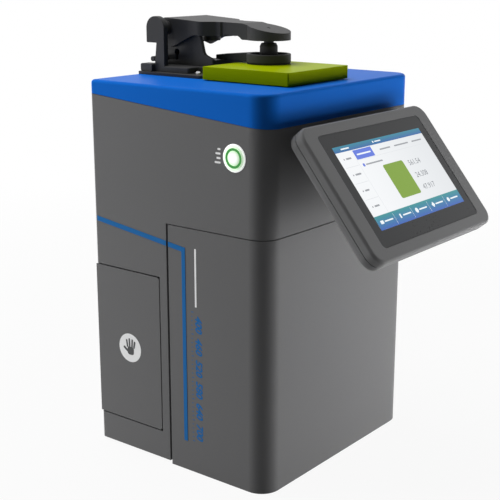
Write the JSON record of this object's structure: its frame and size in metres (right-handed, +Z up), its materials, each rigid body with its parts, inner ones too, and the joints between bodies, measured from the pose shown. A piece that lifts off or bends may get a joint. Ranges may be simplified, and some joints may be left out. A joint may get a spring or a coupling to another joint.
{
  "type": "benchtop spectrophotometer",
  "caption": "Benchtop spectrophotometer: tall grey housing with blue lid, top measuring port, hinged sample clamp with press ring, side door and tilting touch screen.",
  "frame": {"origin": "middle of the housing's footprint on the bench", "axes": "+Z up, -Y towards the screen at the front, -X towards the side door, +X to the user's right"},
  "size_m": [0.2518, 0.3275, 0.4425],
  "materials": {
    "grey_housing": "satin",
    "blue_lid": "satin",
    "sheet_steel": "satin",
    "rubber": "matte",
    "black_plastic": "matte",
    "steel": "satin",
    "white_plastic": "gloss",
    "green_light": "gloss",
    "black_aluminium": "satin",
    "white_optics": "matte",
    "aluminium": "satin",
    "circuit_board": "matte",
    "blue_stripe": "satin",
    "dark_shell": "matte",
    "screen_glass": "gloss",
    "display": "matte",
    "black_clamp": "satin",
    "sample_green": "gloss"
  },
  "bodies": {
    "root": {"main_housing": "grey_housing", "front_cover": "grey_housing", "lid": "blue_lid", "base_tray": "sheet_steel", "rubber_feet": "rubber", "door_hinge_bosses": "black_plastic", "door_hinge_pins": "steel", "chamber_liner": "black_plastic", "cell_holder": "black_plastic", "door_catch": "black_plastic", "button_bezel": "white_plastic", "button_light_ring": "green_light", "port_ring": "black_aluminium", "integrating_sphere": "white_optics", "sphere_cradle": "aluminium", "optics_deck": "aluminium", "deck_posts": "steel", "spectrometer_module": "black_aluminium", "lamp_module": "black_aluminium", "power_supply": "sheet_steel", "main_board": "circuit_board", "rear_panel": "sheet_steel", "power_inlet": "black_plastic", "switch_frame": "black_plastic", "data_ports": "steel", "side_stripe": "blue_stripe", "screen_bracket": "black_aluminium", "screen_hinge_pin": "steel", "clamp_plate": "black_clamp", "clamp_bracket": "black_clamp", "clamp_frame": "black_clamp", "clamp_screws": "steel", "clamp_pivot_pin": "steel", "pivot_spacers": "black_plastic", "clamp_rear_pin": "black_clamp"},
    "door": {"side_door": "grey_housing"},
    "screen": {"screen_back_shell": "dark_shell", "screen_front_shell": "dark_shell", "screen_glass": "screen_glass", "display_panel": "display", "screen_board": "circuit_board", "screen_hinge_block": "black_aluminium"},
    "clamp_arm": {"clamp_arm": "black_clamp"},
    "press": {"press_spindle": "black_clamp", "press_ring": "black_clamp", "press_pad": "rubber"},
    "test_button": {"test_button": "white_plastic"},
    "power_switch": {"power_switch": "black_plastic"},
    "sample": {"sample_tile": "sample_green"}
  },
  "joints": [
    {"name": "door_hinge", "type": "hinge", "parent": "root", "child": "door", "pos_m": [-0.112, 0.1045, 0.1144], "axis": [0, 0, -1], "range_deg": [0, 90]},
    {"name": "screen_tilt", "type": "hinge", "parent": "root", "child": "screen", "pos_m": [0, -0.12804, 0.31526], "axis": [1, 0, 0], "range_deg": [-8, 35]},
    {"name": "clamp_hinge", "type": "hinge", "parent": "root", "child": "clamp_arm", "pos_m": [0, 0.0905, 0.4305], "axis": [-1, 0, 0], "range_deg": [0, 85]},
    {"name": "press_slide", "type": "slide", "parent": "clamp_arm", "child": "press", "axis": [0, 0, 1], "range_m": [0, 0.0025], "stiffness_N_per_m": 1500, "springref_m": -0.001},
    {"name": "button_press", "type": "slide", "parent": "root", "child": "test_button", "axis": [1, 0, 0], "range_m": [0, 0.002], "stiffness_N_per_m": 600},
    {"name": "switch_rock", "type": "hinge", "parent": "root", "child": "power_switch", "pos_m": [0.082, 0.104, 0.081], "axis": [1, 0, 0], "range_deg": [0, 10]},
    {"name": "sample_slide", "type": "slide", "parent": "root", "child": "sample", "axis": [0, -1, 0], "range_m": [0, 0.06]}
  ]
}
